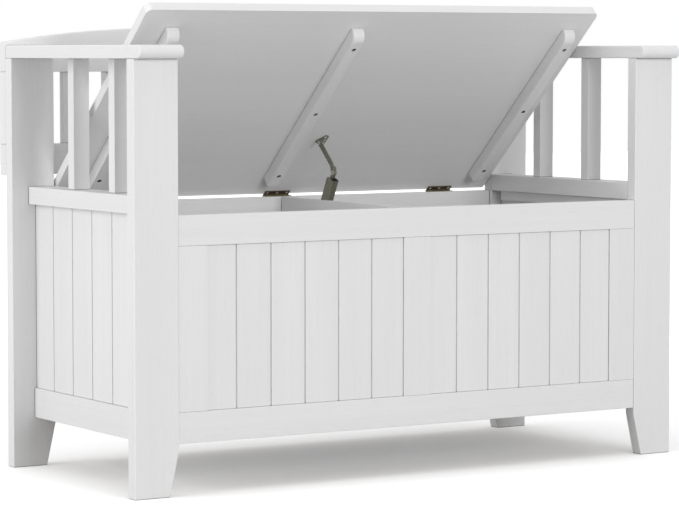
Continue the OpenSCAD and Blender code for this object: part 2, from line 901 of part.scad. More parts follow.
// The coil spring inside the channel, one tube swept along a helix
wire_r = 0.6;
spring_r = channel_t / 2 - sheet_t - turn_gap - wire_r;
spring_top = 2 * channel_top + wire_r;
spring_len = channel_len + channel_top - spring_top - sheet_t - wire_r;
spring_steps = 8;
wire_sides = 6;
spring_rings = spring_turns * spring_steps;
spring_path = [for (i = [0 : spring_rings])
  let (turn = 360 * i / spring_steps)
  [spring_r * cos(turn), spring_r * sin(turn), spring_len * i / spring_rings]];
spring_gap = min([for (i = [0 : spring_rings]) for (j = [i + spring_steps / 2 : 1 : spring_rings])
  norm(spring_path[i] - spring_path[j])]) - 2 * wire_r;
echo(spring_least_gap = spring_gap);
module stay_spring() {
  rings = spring_rings;
  points = [for (i = [0 : rings]) for (k = [0 : wire_sides - 1])
    let (
      side = 360 * k / wire_sides,
      grow = 1 + wire_r * cos(side) / spring_r,
      at = spring_path[i]
    )
    [at[0] * grow, at[1] * grow, at[2] + wire_r * sin(side)]];
  sides = [for (i = [0 : rings - 1]) for (k = [0 : wire_sides - 1]) for (half = [0, 1])
    let (a = i * wire_sides + k, b = i * wire_sides + (k + 1) % wire_sides)
    half == 0 ? [a, b, b + wire_sides] : [a, b + wire_sides, a + wire_sides]];
  first_end = [for (k = [wire_sides - 1 : -1 : 0]) k];
  last_end = [for (k = [0 : wire_sides - 1]) rings * wire_sides + k];
  color(zinc) at_channel()
    translate([channel_x + channel_t / 2, 0, -spring_top - spring_len])
      polyhedron(points, concat(sides, [first_end, last_end]));
}

// The upper arm: a round plate on the elbow that narrows, over a crank, to a flat strip
crank_off = 5.2;
crank_along = 12.8;
module stay_upper_arm() {
  dir = (bracket_pivot - elbow) / norm(bracket_pivot - elbow);
  left = [-dir[1], dir[0]];
  crank = elbow + crank_along * dir + crank_off * left;
  strip = (bracket_pivot - crank) / norm(bracket_pivot - crank);
  strip_left = [-strip[1], strip[0]];
  strip_half = upper_arm_w / 2 - link_lip;
  plate_half = knuckle_plate_r - link_lip;
  outline = [
    elbow + plate_half * left, crank + strip_half * strip_left, bracket_pivot + strip_half * strip_left,
    bracket_pivot - strip_half * strip_left, crank - strip_half * strip_left, elbow - plate_half * left
  ];
  color(steel) at_hinge() difference() {
    union() {
      translate([upper_arm_x, 0, 0]) rotate([90, 0, 90]) linear_extrude(arm_plate_t) polygon(outline);
      translate([0, elbow[0], elbow[1]]) bar_x(knuckle_plate_r, upper_arm_x, arm_plate_t);
      translate([0, bracket_pivot[0], bracket_pivot[1]])
        bar_x(upper_arm_w / 2, upper_arm_x, arm_plate_t);
    }
    translate([0, elbow[0], elbow[1]])
      bar_x(elbow_rivet_r + elbow_play, upper_arm_x - cut, arm_plate_t + 2 * cut);
    translate([0, bracket_pivot[0], bracket_pivot[1]])
      bar_x(bracket_rivet_r + pin_gap, upper_arm_x - cut, arm_plate_t + 2 * cut);
  }
}

// The bracket under the lid: a flange with its screws and an ear that reaches to the pivot
module stay_lid_bracket() {
  ear_r = 5;
  ear_side = (ear_r - link_lip) * [cos(30), -sin(30)];
  ear = [
    [-flange[0][1], bracket_drop + lid_under], [-flange[0][1], bracket_drop],
    ear_side, -ear_side, [-flange[4][1], bracket_drop + lid_under]
  ];
  color(steel) on_lid() translate([0, -bracket_reach, 0]) difference() {
    union() {
      translate([ear_x, 0, lid_under - sheet_t])
        linear_extrude(sheet_t) polygon([for (p = flange) [p[0], -p[1]]]);
      translate([ear_x, 0, -bracket_drop])
        rotate([90, 0, 90]) linear_extrude(sheet_t) polygon(ear);
      translate([0, 0, -bracket_drop]) bar_x(ear_r, ear_x, sheet_t);
    }
    translate([0, 0, -bracket_drop]) bar_x(bracket_rivet_r, ear_x - cut, sheet_t + 2 * cut);
    translate([0, bracket_reach, 0]) bracket_screw_set();
  }
}

module stay_bracket_screws() {
  color(zinc) on_lid() bracket_screw_set();
}

module stay_bracket_rivet() {
  head_x = upper_arm_x - turn_gap;
  color(zinc) on_lid() translate([0, -bracket_reach, -bracket_drop]) {
    bar_x(bracket_rivet_r, head_x, ear_x + sheet_t - head_x);
    bar_x(bracket_rivet_r * head_ratio, head_x - rivet_head, rivet_head);
    bar_x(bracket_rivet_r * head_ratio, ear_x + sheet_t, rivet_head);
  }
}

front_leg(-1);  // front_leg_left
front_leg(1);  // front_leg_right
rear_leg(-1);  // rear_leg_left
rear_leg(1);  // rear_leg_right
armrest(-1);  // armrest_left
armrest(1);  // armrest_right
cap_rail(-1);  // cap_rail_left
cap_rail(1);  // cap_rail_right
end_rail(-1);  // end_rail_left
end_rail(1);  // end_rail_right
end_panel(-1);  // end_panel_left
end_panel(1);  // end_panel_right
end_cleat(-1);  // end_cleat_left
end_cleat(1);  // end_cleat_right
end_slat(-1, 0);  // slat_left_front
end_slat(-1, 1);  // slat_left_rear
end_slat(1, 0);  // slat_right_front
end_slat(1, 1);  // slat_right_rear
front_rail(top_rail_z, top_rail_h);  // front_top_rail
front_rail(bottom_rail_z, bottom_rail_h);  // front_bottom_rail
front_stile(-inner_x);  // front_stile_left
front_stile(-stile_w / 2);  // front_stile_middle
front_stile(inner_x - stile_w);  // front_stile_right
front_panel(bay_left_x);  // front_panel_left
front_panel(bay_right_x);  // front_panel_right
back_top_rail();
back_bottom_rail();
back_panel();
divider();
bottom_panel();
bottom_cleats();
crest_rail();
backrest_rail();
backrest_stile(-1);  // backrest_stile_left
backrest_stile(1);  // backrest_stile_right
backrest_slats();
hinge_frame_leaves();
hinge_pins();
hinge_frame_screws();
stay_base_plate();
stay_base_screws();
rail_dowels();
end_dowels();
armrest_dowels();
backrest_bolts();
lid_board();
batten(batten_xs[0]);  // batten_left
batten(batten_xs[1]);  // batten_middle
batten(batten_xs[2]);  // batten_right
batten_screws();
hinge_lid_leaves();
hinge_lid_screws();
stay_lid_bracket();
stay_bracket_screws();
stay_bracket_rivet();
stay_lower_arm();
stay_spring();
stay_bumper();
stay_arm_rivets();
stay_upper_arm();
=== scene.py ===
import math
import random

import bmesh
import bpy
from mathutils import Matrix, Vector


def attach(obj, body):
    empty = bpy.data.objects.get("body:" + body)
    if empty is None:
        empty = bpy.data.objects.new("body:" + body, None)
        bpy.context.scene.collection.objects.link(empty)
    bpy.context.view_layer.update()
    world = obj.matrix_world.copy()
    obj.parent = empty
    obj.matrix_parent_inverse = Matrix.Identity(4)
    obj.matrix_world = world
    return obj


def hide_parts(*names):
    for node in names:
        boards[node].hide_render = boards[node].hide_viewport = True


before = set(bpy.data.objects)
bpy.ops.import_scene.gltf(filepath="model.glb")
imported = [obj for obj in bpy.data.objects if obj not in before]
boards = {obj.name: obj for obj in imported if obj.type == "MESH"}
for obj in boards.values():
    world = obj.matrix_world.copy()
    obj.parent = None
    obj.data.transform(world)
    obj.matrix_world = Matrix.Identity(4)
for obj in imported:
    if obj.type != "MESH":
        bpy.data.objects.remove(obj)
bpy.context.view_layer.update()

# All lengths are in metres, in the row's own frame. The picture is 679 by 510 pixels.
PICTURE_WIDTH = 679
MM = 0.001
LID_TILT = math.radians(42.0)


# Small makers of shader nodes

def srgb(red, green, blue):
    """A colour written as it is seen, turned to the linear values that shaders use."""
    def linear(value):
        return value / 12.92 if value <= 0.04045 else ((value + 0.055) / 1.055) ** 2.4
    return (linear(red), linear(green), linear(blue), 1.0)


def place(tree, kind, feeds=None, **settings):
    """One node of a tree, its settings, and its sockets fed by values or by other nodes."""
    node = tree.nodes.new(kind)
    for name, value in settings.items():
        setattr(node, name, value)
    for socket, value in (feeds or {}).items():
        if isinstance(value, bpy.types.NodeSocket):
            tree.links.new(value, node.inputs[socket])
        else:
            node.inputs[socket].default_value = value
    return node


def calc(tree, operation, first, second):
    return place(tree, "ShaderNodeMath", {0: first, 1: second}, operation=operation).outputs[0]


def rescale(tree, value, low, high, new_low=0.0, new_high=1.0):
    """A value between low and high, spread smoothly between the new limits."""
    node = place(
        tree,
        "ShaderNodeMapRange",
        {"Value": value, "From Min": low, "From Max": high, "To Min": new_low, "To Max": new_high},
        interpolation_type="SMOOTHSTEP",
    )
    return node.outputs["Result"]


def blend_colour(tree, share, first, second):
    node = place(tree, "ShaderNodeMix", data_type="RGBA")
    for name, value in (("Factor_Float", share), ("A_Color", first), ("B_Color", second)):
        socket = next(s for s in node.inputs if s.identifier == name)
        if isinstance(value, bpy.types.NodeSocket):
            tree.links.new(value, socket)
        else:
            socket.default_value = value
    return next(s for s in node.outputs if s.identifier == "Result_Color")


def tint(tree, coat, colour, mask, share):
    """Lays a colour over a coat where a mask is, at that share of the mask's strength."""
    return blend_colour(tree, calc(tree, "MULTIPLY", mask, share), coat, colour)


def cloud(tree, vector, size, detail=2.0, rough=0.5):
    node = place(
        tree,
        "ShaderNodeTexNoise",
        {"Vector": vector, "Scale": size, "Detail": detail, "Roughness": rough},
    )
    return node.outputs["Fac"]


def stretched(tree, vector, waves):
    """The vector scaled apart on each axis, so that a pattern is drawn out along the first."""
    node = place(tree, "ShaderNodeVectorMath", {0: vector, 1: waves}, operation="MULTIPLY")
    return node.outputs[0]


def open_group(name, takes, gives):
    """A shader node group with named inputs and outputs; it returns its tree and both ends."""
    tree = bpy.data.node_groups.new(name, "ShaderNodeTree")
    for label, kind, value in takes:
        socket = tree.interface.new_socket(label, in_out="INPUT", socket_type=kind)
        socket.default_value = value
    for label, kind in gives:
        tree.interface.new_socket(label, in_out="OUTPUT", socket_type=kind)
    start = tree.nodes.new("NodeGroupInput").outputs
    end = tree.nodes.new("NodeGroupOutput").inputs
    return tree, start, end


def use_group(tree, group, feeds=None):
    return place(tree, "ShaderNodeGroup", feeds, node_tree=group).outputs


FLOAT = "NodeSocketFloat"
VECTOR = "NodeSocketVector"


# Effects that materials share

# How fine each pattern is along, across and through a board, in waves per metre
SLOW_BEND = (3.0, 14.0, 14.0)
FINE_FIBRES = (9.0, 620.0, 620.0)
COARSE_FIBRES = (4.0, 170.0, 170.0)
PORE_PITS = (60.0, 900.0, 900.0)
GROWTH_RINGS = (0.6, 34.0, 22.0)
TIGHT_FURROWS = (5.0, 330.0, 330.0)
BROAD_FURROWS = (2.2, 95.0, 95.0)
PAINT_LAPS = (1.3, 11.0, 11.0)
SCUFF_LINES = (900.0, 60.0, 1800.0)
METAL_MOTTLE = 240.0

# How far the fibres of a board bend aside, in metres
FIBRE_BEND = 0.012
# How far apart chance moves the patterns of two boards, and of two slats in one node
BOARD_SHIFT = 17.0
SLAT_SHIFT = 5.0
# The two directions in which scuffs cross
SCUFF_TURNS = (0.35, -0.6)
# How much of the open air near a point is closed off where the painted joint shade starts, and
# where it is deep
SEAM_START = 0.22
SEAM_DEEP = 0.50


def make_board_place():
    """Coordinates that run along a board's own grain, shifted for each board and each slat."""
    tree, start, end = open_group(
        "Board place", [("Turn", VECTOR, (0, 0, 0))], [("Place", VECTOR)]
    )
    own = place(tree, "ShaderNodeTexCoord").outputs["Object"]
    board = place(tree, "ShaderNodeObjectInfo").outputs["Random"]
    slat = place(tree, "ShaderNodeNewGeometry").outputs["Random Per Island"]
    turned = place(tree, "ShaderNodeVectorRotate", {"Vector": own, "Rotation": start["Turn"]},
                   rotation_type="EULER_XYZ").outputs[0]
    luck = calc(tree, "ADD", calc(tree, "MULTIPLY", board, BOARD_SHIFT),
                calc(tree, "MULTIPLY", slat, SLAT_SHIFT))
    shift = place(tree, "ShaderNodeCombineXYZ", {0: luck, 1: luck, 2: luck}).outputs[0]
    moved = place(tree, "ShaderNodeVectorMath", {0: turned, 1: shift}, operation="ADD")
    tree.links.new(moved.outputs[0], end["Place"])
    return tree


def make_wood_grain():
    """Fibres and pores of a planed board, drawn out along the grain."""
    tree, start, end = open_group(
        "Wood grain",
        [("Place", VECTOR, (0, 0, 0)), ("Fineness", FLOAT, 1.0)],
        [("Fibres", FLOAT), ("Pores", FLOAT), ("Rings", FLOAT)],
    )
    at = start["Place"]
    scale = start["Fineness"]
    bend = calc(tree, "MULTIPLY", cloud(tree, stretched(tree, at, SLOW_BEND), 1.0), FIBRE_BEND)
    lean = place(tree, "ShaderNodeCombineXYZ", {1: bend}).outputs[0]
    at = place(tree, "ShaderNodeVectorMath", {0: at, 1: lean}, operation="ADD").outputs[0]
    fine = cloud(tree, stretched(tree, at, FINE_FIBRES), scale, 3.0, 0.6)
    coarse = cloud(tree, stretched(tree, at, COARSE_FIBRES), scale)
    fibres = calc(tree, "ADD", calc(tree, "MULTIPLY", fine, 0.45),
                  calc(tree, "MULTIPLY", coarse, 0.55))
    pits = cloud(tree, stretched(tree, at, PORE_PITS), scale, 1.0)
    rings = place(tree, "ShaderNodeTexWave",
                  {"Vector": stretched(tree, at, GROWTH_RINGS), "Scale": scale,
                   "Distortion": 5.0, "Detail": 2.0, "Detail Scale": 1.4},
                  wave_type="BANDS", bands_direction="Y").outputs["Fac"]
    tree.links.new(fibres, end["Fibres"])
    tree.links.new(rescale(tree, pits, 0.62, 0.72), end["Pores"])
    tree.links.new(rings, end["Rings"])
    return tree


def make_brush_marks():
    """Shallow furrows that a fine brush or roller leaves in paint as it levels out."""
    tree, start, end = open_group(
        "Brush marks",
        [("Place", VECTOR, (0, 0, 0)), ("Spacing", FLOAT, 1.0)],
        [("Furrows", FLOAT), ("Laps", FLOAT)],
    )
    at = start["Place"]
    tight = cloud(tree, stretched(tree, at, TIGHT_FURROWS), start["Spacing"], 2.0, 0.55)
    broad = cloud(tree, stretched(tree, at, BROAD_FURROWS), start["Spacing"])
    furrows = calc(tree, "MULTIPLY", calc(tree, "ADD", tight, broad), 0.5)
    laps = cloud(tree, stretched(tree, at, PAINT_LAPS), start["Spacing"], 1.0)
    tree.links.new(furrows, end["Furrows"])
    tree.links.new(laps, end["Laps"])
    return tree


def make_edge_wear_and_highlight():
    """A mask that is 1 along rounded edges and 0 on the flat: rubbed wear on wood, metal and
    rubber, and a painted highlight on white paint.
    """
    tree, start, end = open_group(
        "Edge wear and painted highlight",
        [("Place", VECTOR, (0, 0, 0)), ("Reach", FLOAT, 0.003), ("Break Up", FLOAT, 60.0)],
        [("Rubbed and highlit", FLOAT), ("Chipped", FLOAT)],
    )
    rounded = place(tree, "ShaderNodeBevel", {"Radius": start["Reach"]}, samples=4).outputs[0]
    flat = place(tree, "ShaderNodeNewGeometry").outputs["True Normal"]
    facing = place(tree, "ShaderNodeVectorMath", {0: rounded, 1: flat},
                   operation="DOT_PRODUCT").outputs["Value"]
    edge = rescale(tree, calc(tree, "SUBTRACT", 1.0, facing), 0.01, 0.22)
    broken = cloud(tree, start["Place"], start["Break Up"], 3.0, 0.65)
    rubbed = calc(tree, "MULTIPLY", edge, rescale(tree, broken, 0.3, 0.7, 0.25, 1.0))
    chipped = calc(tree, "MULTIPLY", edge, rescale(tree, broken, 0.69, 0.73))
    tree.links.new(rubbed, end["Rubbed and highlit"])
    tree.links.new(chipped, end["Chipped"])
    return tree


def make_handling():
    """Soft patches where hands and cloths have polished a surface, and fine settled specks."""
    tree, start, end = open_group(
        "Handling",
        [("Place", VECTOR, (0, 0, 0)), ("Patch", FLOAT, 7.0), ("Speck", FLOAT, 900.0)],
        [("Patches", FLOAT), ("Specks", FLOAT)],
    )
    patches = cloud(tree, start["Place"], start["Patch"], 3.0, 0.55)
    specks = cloud(tree, start["Place"], start["Speck"], 1.0)
    tree.links.new(rescale(tree, patches, 0.3, 0.7), end["Patches"])
    tree.links.new(rescale(tree, specks, 0.7, 0.8), end["Specks"])
    return tree


def make_joint_shade():
    """A painted shade mask from ambient occlusion: 1 deep in an upright joint or groove, where
    shade falls, and 0 in the open and on ledges.
    """
    tree, start, end = open_group("Painted joint shade", [("Reach", FLOAT, 0.002)], [("Depth", FLOAT)])
    occlusion_for_shade = place(tree, "ShaderNodeAmbientOcclusion", {"Distance": start["Reach"]}, samples=6)
    hidden = calc(tree, "SUBTRACT", 1.0, occlusion_for_shade.outputs["AO"])
    depth = rescale(tree, hidden, SEAM_START, SEAM_DEEP)
    # Only upright faces get the painted shade; ledges that face up stay light
    facing = place(tree, "ShaderNodeNewGeometry").outputs["Normal"]
    rise = place(tree, "ShaderNodeSeparateXYZ", {"Vector": facing}).outputs["Z"]
    upright = rescale(tree, rise, 0.25, 0.85, 1.0, 0.0)
    tree.links.new(calc(tree, "MULTIPLY", depth, upright), end["Depth"])
    return tree


def make_scratches():
    """Fine scuffs in two crossing directions on bare or plated metal."""
    tree, start, end = open_group(
        "Scuffs",
        [("Place", VECTOR, (0, 0, 0)), ("Fineness", FLOAT, 1.0)],
        [("Scuffs", FLOAT), ("Mottle", FLOAT)],
    )
    at = start["Place"]
    marks = []
    for turn in SCUFF_TURNS:
        turned = place(tree, "ShaderNodeVectorRotate", {"Vector": at, "Angle": turn},
                       rotation_type="X_AXIS").outputs[0]
        lines = cloud(tree, stretched(tree, turned, SCUFF_LINES), start["Fineness"])
        marks.append(rescale(tree, lines, 0.6, 0.72))
    tree.links.new(calc(tree, "MAXIMUM", marks[0], marks[1]), end["Scuffs"])
    tree.links.new(cloud(tree, at, METAL_MOTTLE, 3.0, 0.6), end["Mottle"])
    return tree


BOARD_PLACE = make_board_place()
WOOD_GRAIN = make_wood_grain()
BRUSH_MARKS = make_brush_marks()
EDGE_WEAR_AND_HIGHLIGHT = make_edge_wear_and_highlight()
HANDLING = make_handling()
JOINT_SHADE = make_joint_shade()
SCUFFS = make_scratches()


# Materials

def open_material(name):
    """A new material with its surface shader; it returns the material, its tree and the shader."""
    material = bpy.data.materials.new(name)
    material.use_nodes = True
    tree = material.node_tree
    tree.nodes.clear()
    shader = tree.nodes.new("ShaderNodeBsdfPrincipled")
    output = tree.nodes.new("ShaderNodeOutputMaterial")
    tree.links.new(shader.outputs[0], output.inputs["Surface"])
    return material, tree, shader


def relief(tree, shader, height, depth):
    """Feeds a height to the shader's normal as a bump of that depth in metres."""
    bump = place(tree, "ShaderNodeBump", {"Strength": 1.0, "Distance": depth, "Height": height})
    tree.links.new(bump.outputs[0], shader.inputs["Normal"])


# How the grain runs: the turn that brings each board's length to the first axis
ALONG = {
    "wide": (0.0, 0.0, 0.0),
    "upright": (0.0, math.radians(90), 0.0),
    "deep": (0.0, 0.0, math.radians(-90)),
    "lid": (LID_TILT, 0.0, 0.0),
    "up_the_lid": (LID_TILT, 0.0, math.radians(-90)),
}

PAINT_WHITE = srgb(0.908, 0.908, 0.908)
PAINT_THIN = srgb(0.862, 0.862, 0.862)
PAINT_WORN = srgb(0.79, 0.78, 0.76)
# Painted highlight: the paler tone laid along rounded edges, as if they caught the light
PAINT_EDGE_HIGHLIGHT = srgb(0.965, 0.965, 0.962)
# Painted shade: the dark tone laid in joints and grooves, where shade falls
PAINT_JOINT_SHADOW = srgb(0.44, 0.435, 0.425)

# How strongly the brush streaks show on boards of each grain, and how deep they are for that
STREAKS = {"wide": 0.22, "upright": 0.22, "deep": 0.22, "lid": 0.13, "up_the_lid": 0.20}
STREAK_RELIEF = 0.9 * MM
# How dark the painted shade in the joints and grooves beside boards of each grain is
SEAM_SHADE = {"wide": 0.95, "upright": 0.95, "deep": 0.8, "lid": 0.1, "up_the_lid": 0.15}
# How strongly the paint's other marks show, the painted edge highlight among them
LAPS_SHOW = 0.22
PORES_SHOW = 0.10
EDGE_HIGHLIGHT_SHOWS = 0.55
CHIPS_SHOW = 0.25
SPECKS_SHOW = 0.05
# How matt satin paint is, and how far hands, rubbed edges and streaks change that
SATIN = 0.40
HANDLED_MATT = 0.08
RUBBED_GLOSS = 0.07
STREAK_MATT = 0.05


def white_paint(name, grain):
    """Satin white over a grained board: brush furrows, raised fibres, rounded edges made paler as
    a painted highlight, and joints darkened as painted shade.
    """
    material, tree, shader = open_material(name)
    at = use_group(tree, BOARD_PLACE, {"Turn": ALONG[grain]})["Place"]
    wood = use_group(tree, WOOD_GRAIN, {"Place": at, "Fineness": 0.55})
    brush = use_group(tree, BRUSH_MARKS, {"Place": at, "Spacing": 0.8})
    edge_marks = use_group(tree, EDGE_WEAR_AND_HIGHLIGHT, {"Place": at, "Reach": 0.0028, "Break Up": 70.0})
    hands = use_group(tree, HANDLING, {"Place": at, "Patch": 6.0, "Speck": 700.0})
    joint_shade = use_group(tree, JOINT_SHADE, {"Reach": 0.0022})["Depth"]

    streak = rescale(tree, brush["Furrows"], 0.35, 0.65)
    lap = rescale(tree, brush["Laps"], 0.35, 0.65)
    coat = tint(tree, PAINT_WHITE, PAINT_THIN, streak, STREAKS[grain])
    coat = tint(tree, coat, PAINT_THIN, lap, LAPS_SHOW)
    coat = tint(tree, coat, PAINT_WORN, wood["Pores"], PORES_SHOW)
    # Painted highlight: rounded edges made paler where they would catch the light
    coat = tint(tree, coat, PAINT_EDGE_HIGHLIGHT, edge_marks["Rubbed and highlit"], EDGE_HIGHLIGHT_SHOWS)
    coat = tint(tree, coat, PAINT_WORN, edge_marks["Chipped"], CHIPS_SHOW)
    coat = tint(tree, coat, PAINT_WORN, hands["Specks"], SPECKS_SHOW)
    # Painted shade: joints and grooves darkened by ambient occlusion
    coat = tint(tree, coat, PAINT_JOINT_SHADOW, joint_shade, SEAM_SHADE[grain])
    tree.links.new(coat, shader.inputs["Base Color"])

    matt = calc(tree, "ADD", calc(tree, "MULTIPLY", hands["Patches"], HANDLED_MATT), SATIN)
    matt = calc(tree, "SUBTRACT", matt, calc(tree, "MULTIPLY", edge_marks["Rubbed and highlit"], RUBBED_GLOSS))
    matt = calc(tree, "ADD", matt, calc(tree, "MULTIPLY", streak, STREAK_MATT))
    tree.links.new(matt, shader.inputs["Roughness"])
    shader.inputs["IOR"].default_value = 1.48

    fibres = calc(tree, "MULTIPLY", wood["Fibres"], 0.5)
    height = calc(tree, "ADD", calc(tree, "MULTIPLY", brush["Furrows"], 0.8), fibres)
    height = calc(tree, "SUBTRACT", height, calc(tree, "MULTIPLY", wood["Pores"], 0.12))
    relief(tree, shader, height, STREAK_RELIEF * STREAKS[grain])
    return material


def bare_softwood(name, grain):
    """Planed, unpainted softwood with growth rings and open pores."""
    material, tree, shader = open_material(name)
    at = use_group(tree, BOARD_PLACE, {"Turn": ALONG[grain]})["Place"]
    wood = use_group(tree, WOOD_GRAIN, {"Place": at, "Fineness": 1.0})
    edge_marks = use_group(tree, EDGE_WEAR_AND_HIGHLIGHT, {"Place": at, "Reach": 0.0015, "Break Up": 90.0})
    early = srgb(0.82, 0.69, 0.50)
    late = srgb(0.66, 0.47, 0.29)
    fibre = srgb(0.72, 0.55, 0.36)
    pore = srgb(0.45, 0.31, 0.19)
    body = blend_colour(tree, wood["Rings"], early, late)
    body = tint(tree, body, fibre, wood["Fibres"], 0.35)
    body = tint(tree, body, pore, wood["Pores"], 0.3)
    body = tint(tree, body, early, edge_marks["Rubbed and highlit"], 0.2)
    tree.links.new(body, shader.inputs["Base Color"])
    tree.links.new(rescale(tree, wood["Fibres"], 0.3, 0.7, 0.6, 0.78), shader.inputs["Roughness"])
    relief(tree, shader, calc(tree, "SUBTRACT", wood["Fibres"], wood["Pores"]), 0.2 * MM)
    return material


def plated_metal(name, bright, dark, rub, gloss, metal=0.9):
    """Plated or lacquered metal: mottled tone, fine scuffs, brighter rubbed edges."""
    material, tree, shader = open_material(name)
    at = use_group(tree, BOARD_PLACE)["Place"]
    marks = use_group(tree, SCUFFS, {"Place": at, "Fineness": 1.0})
    edge_marks = use_group(tree, EDGE_WEAR_AND_HIGHLIGHT, {"Place": at, "Reach": 0.0006, "Break Up": 400.0})
    body = blend_colour(tree, rescale(tree, marks["Mottle"], 0.35, 0.65), dark, bright)
    body = tint(tree, body, rub, marks["Scuffs"], 0.55)
    body = tint(tree, body, rub, edge_marks["Rubbed and highlit"], 0.6)
    tree.links.new(body, shader.inputs["Base Color"])
    shader.inputs["Metallic"].default_value = metal
    rough = rescale(tree, marks["Mottle"], 0.3, 0.7, gloss - 0.06, gloss + 0.08)
    rough = calc(tree, "SUBTRACT", rough, calc(tree, "MULTIPLY", edge_marks["Rubbed and highlit"], 0.08))
    tree.links.new(rough, shader.inputs["Roughness"])
    dents = calc(tree, "MULTIPLY", marks["Scuffs"], 0.4)
    relief(tree, shader, calc(tree, "SUBTRACT", marks["Mottle"], dents), 0.05 * MM)
    return material


def stop_rubber(name):
    """Matt black moulded rubber with a dusty bloom and a pebbled skin."""
    material, tree, shader = open_material(name)
    at = use_group(tree, BOARD_PLACE)["Place"]
    hands = use_group(tree, HANDLING, {"Place": at, "Patch": 160.0, "Speck": 2400.0})
    edge_marks = use_group(tree, EDGE_WEAR_AND_HIGHLIGHT, {"Place": at, "Reach": 0.0006, "Break Up": 500.0})
    black = srgb(0.055, 0.055, 0.055)
    bloom = srgb(0.11, 0.11, 0.108)
    worn = srgb(0.2, 0.2, 0.2)
    body = tint(tree, black, bloom, hands["Patches"], 0.4)
    body = tint(tree, body, worn, edge_marks["Rubbed and highlit"], 0.5)
    tree.links.new(body, shader.inputs["Base Color"])
    rough = rescale(tree, hands["Patches"], 0.0, 1.0, 0.62, 0.78)
    tree.links.new(rough, shader.inputs["Roughness"])
    relief(tree, shader, hands["Specks"], 0.04 * MM)
    return material


PAINT = {grain: white_paint("white_paint_" + grain, grain) for grain in ALONG}
SOFTWOOD = {grain: bare_softwood("bare_softwood_" + grain, grain) for grain in ("wide", "deep")}
BRONZE = plated_metal("bronze_lacquer", srgb(0.42, 0.385, 0.29), srgb(0.33, 0.30, 0.225),
                      srgb(0.60, 0.54, 0.40), 0.45, 0.55)
# Dark steel for the batten screws: partly their own dark heads, partly painted shade standing for
# the shade in their sunk holes
DARK_STEEL_HOLE_SHADE = plated_metal("dark_steel_hole_shade", srgb(0.31, 0.305, 0.295), srgb(0.23, 0.225, 0.22),
                          srgb(0.54, 0.53, 0.51), 0.42, 0.5)
STAY_STEEL = plated_metal("olive_grey_plate", srgb(0.555, 0.55, 0.49), srgb(0.49, 0.485, 0.43),
                          srgb(0.74, 0.73, 0.67), 0.44, 0.7)
ZINC = plated_metal("bright_zinc", srgb(0.82, 0.82, 0.81), srgb(0.70, 0.70, 0.69),
                    srgb(0.95, 0.95, 0.94), 0.32, 0.6)
RUBBER = stop_rubber("stop_rubber")


# Edges of the boards

def make_crease_shading():
    """A geometry group that shades faces smoothly, apart from creases sharper than a limit."""
    tree = bpy.data.node_groups.new("Crease shading", "GeometryNodeTree")
    tree.interface.new_socket("Geometry", in_out="INPUT", socket_type="NodeSocketGeometry")
    limit = tree.interface.new_socket("Crease", in_out="INPUT", socket_type=FLOAT)
    limit.default_value = math.radians(32)
    tree.interface.new_socket("Geometry", in_out="OUTPUT", socket_type="NodeSocketGeometry")
    start = tree.nodes.new("NodeGroupInput").outputs
    plain = place(tree, "GeometryNodeRemoveAttribute",
                  {"Geometry": start["Geometry"], "Name": "custom_normal"})
    smooth = place(tree, "GeometryNodeSetShadeSmooth",
                   {"Geometry": plain.outputs[0], "Shade Smooth": True}, domain="FACE")
    angle = place(tree, "GeometryNodeInputMeshEdgeAngle").outputs["Unsigned Angle"]
    sharp = place(tree, "ShaderNodeMath", {0: angle, 1: start["Crease"]}, operation="GREATER_THAN")
    creased = place(tree, "GeometryNodeSetShadeSmooth",
                    {"Geometry": smooth.outputs[0], "Selection": sharp.outputs[0],
                     "Shade Smooth": False}, domain="EDGE")
    end = tree.nodes.new("NodeGroupOutput").inputs
    tree.links.new(creased.outputs[0], end["Geometry"])
    return tree


def make_edge_choice():
    """A geometry group that marks a board's own edges for rounding, and leaves out hole rims."""
    tree = bpy.data.node_groups.new("Edge choice", "GeometryNodeTree")
    tree.interface.new_socket("Geometry", in_out="INPUT", socket_type="NodeSocketGeometry")
    bend = tree.interface.new_socket("Least bend", in_out="INPUT", socket_type=FLOAT)
    bend.default_value = math.radians(38)
    least = tree.interface.new_socket("Least length", in_out="INPUT", socket_type=FLOAT)
    least.default_value = 1.0 * MM
    tree.interface.new_socket("Geometry", in_out="OUTPUT", socket_type="NodeSocketGeometry")
    start = tree.nodes.new("NodeGroupInput").outputs
    angle = place(tree, "GeometryNodeInputMeshEdgeAngle").outputs["Unsigned Angle"]
    ends = place(tree, "GeometryNodeInputMeshEdgeVertices").outputs
    length = place(tree, "ShaderNodeVectorMath", {0: ends["Position 1"], 1: ends["Position 2"]},
                   operation="DISTANCE").outputs["Value"]
    bent = calc(tree, "GREATER_THAN", angle, start["Least bend"])
    long_enough = calc(tree, "GREATER_THAN", length, start["Least length"])
    marked = place(tree, "GeometryNodeStoreNamedAttribute",
                   {"Geometry": start["Geometry"], "Name": "bevel_weight_edge",
                    "Value": calc(tree, "MULTIPLY", bent, long_enough)},
                   data_type="FLOAT", domain="EDGE")
    end = tree.nodes.new("NodeGroupOutput").inputs
    tree.links.new(marked.outputs[0], end["Geometry"])
    return tree


CREASE_SHADING = make_crease_shading()
EDGE_CHOICE = make_edge_choice()
# Corner points nearer than this are one, and faces that bend less than this are one face
SAME_POINT = 0.01 * MM
SAME_FACE = math.radians(0.4)


def finish_piece(piece, material):
    """Gives a piece its finish, and shades it smoothly between its creases."""
    piece.data.materials.clear()
    piece.data.materials.append(material)
    shade = piece.modifiers.new("crease shading", "NODES")
    shade.node_group = CREASE_SHADING
    even = piece.modifiers.new("even normals", "WEIGHTED_NORMAL")
    even.keep_sharp = True
    even.mode = "FACE_AREA"


